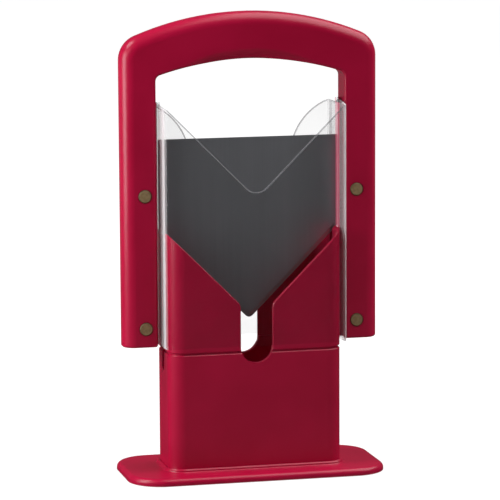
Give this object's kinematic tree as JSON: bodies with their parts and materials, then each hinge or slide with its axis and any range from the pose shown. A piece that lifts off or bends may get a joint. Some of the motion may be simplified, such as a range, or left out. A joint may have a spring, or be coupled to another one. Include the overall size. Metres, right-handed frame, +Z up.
{
  "type": "guillotine bagel cutter",
  "caption": "Upright guillotine bagel cutter: a blade between clear guards in an arched red handle slides down over a slotted red cradle on a flat foot.",
  "frame": {"origin": "centre of the overall footprint, on the surface that the rubber feet stand on", "axes": "+Z up along the travel of the blade frame; +X across the blade, to the right seen from the front; +Y towards the back, so the front guard with the raised band faces -Y"},
  "size_m": [0.203, 0.096, 0.3589],
  "materials": {
    "red_plastic": "glossy moulded plastic",
    "clear_plastic": "clear polished plastic",
    "blade_steel": "brushed stainless steel with ground edge",
    "rivet_brass": "satin, slightly dulled",
    "screw_steel": "zinc plated",
    "foot_rubber": "matt"
  },
  "bodies": {
    "stand": {"foot_plate": "red_plastic", "column": "red_plastic", "front_cradle": "red_plastic", "rear_cradle": "red_plastic", "rubber_foot_front_left": "foot_rubber", "rubber_foot_front_right": "foot_rubber", "rubber_foot_rear_left": "foot_rubber", "rubber_foot_rear_right": "foot_rubber", "foot_screw_front_left": "screw_steel", "foot_screw_front_right": "screw_steel", "foot_screw_rear_left": "screw_steel", "foot_screw_rear_right": "screw_steel", "cradle_screw_front_left": "screw_steel", "cradle_screw_front_right": "screw_steel", "cradle_screw_rear_left": "screw_steel", "cradle_screw_rear_right": "screw_steel"},
    "cutter": {"handle_front": "red_plastic", "handle_rear": "red_plastic", "blade": "blade_steel", "front_guard": "clear_plastic", "rear_guard": "clear_plastic", "rivet_post_left_lower": "rivet_brass", "rivet_post_left_upper": "rivet_brass", "rivet_post_right_lower": "rivet_brass", "rivet_post_right_upper": "rivet_brass", "rivet_screw_left_lower": "rivet_brass", "rivet_screw_left_upper": "rivet_brass", "rivet_screw_right_lower": "rivet_brass", "rivet_screw_right_upper": "rivet_brass"}
  },
  "joints": [
    {"name": "cutter_slide", "type": "slide", "parent": "stand", "child": "cutter", "axis": [0, 0, 1], "range_m": [-0.0939, 0.082]}
  ]
}
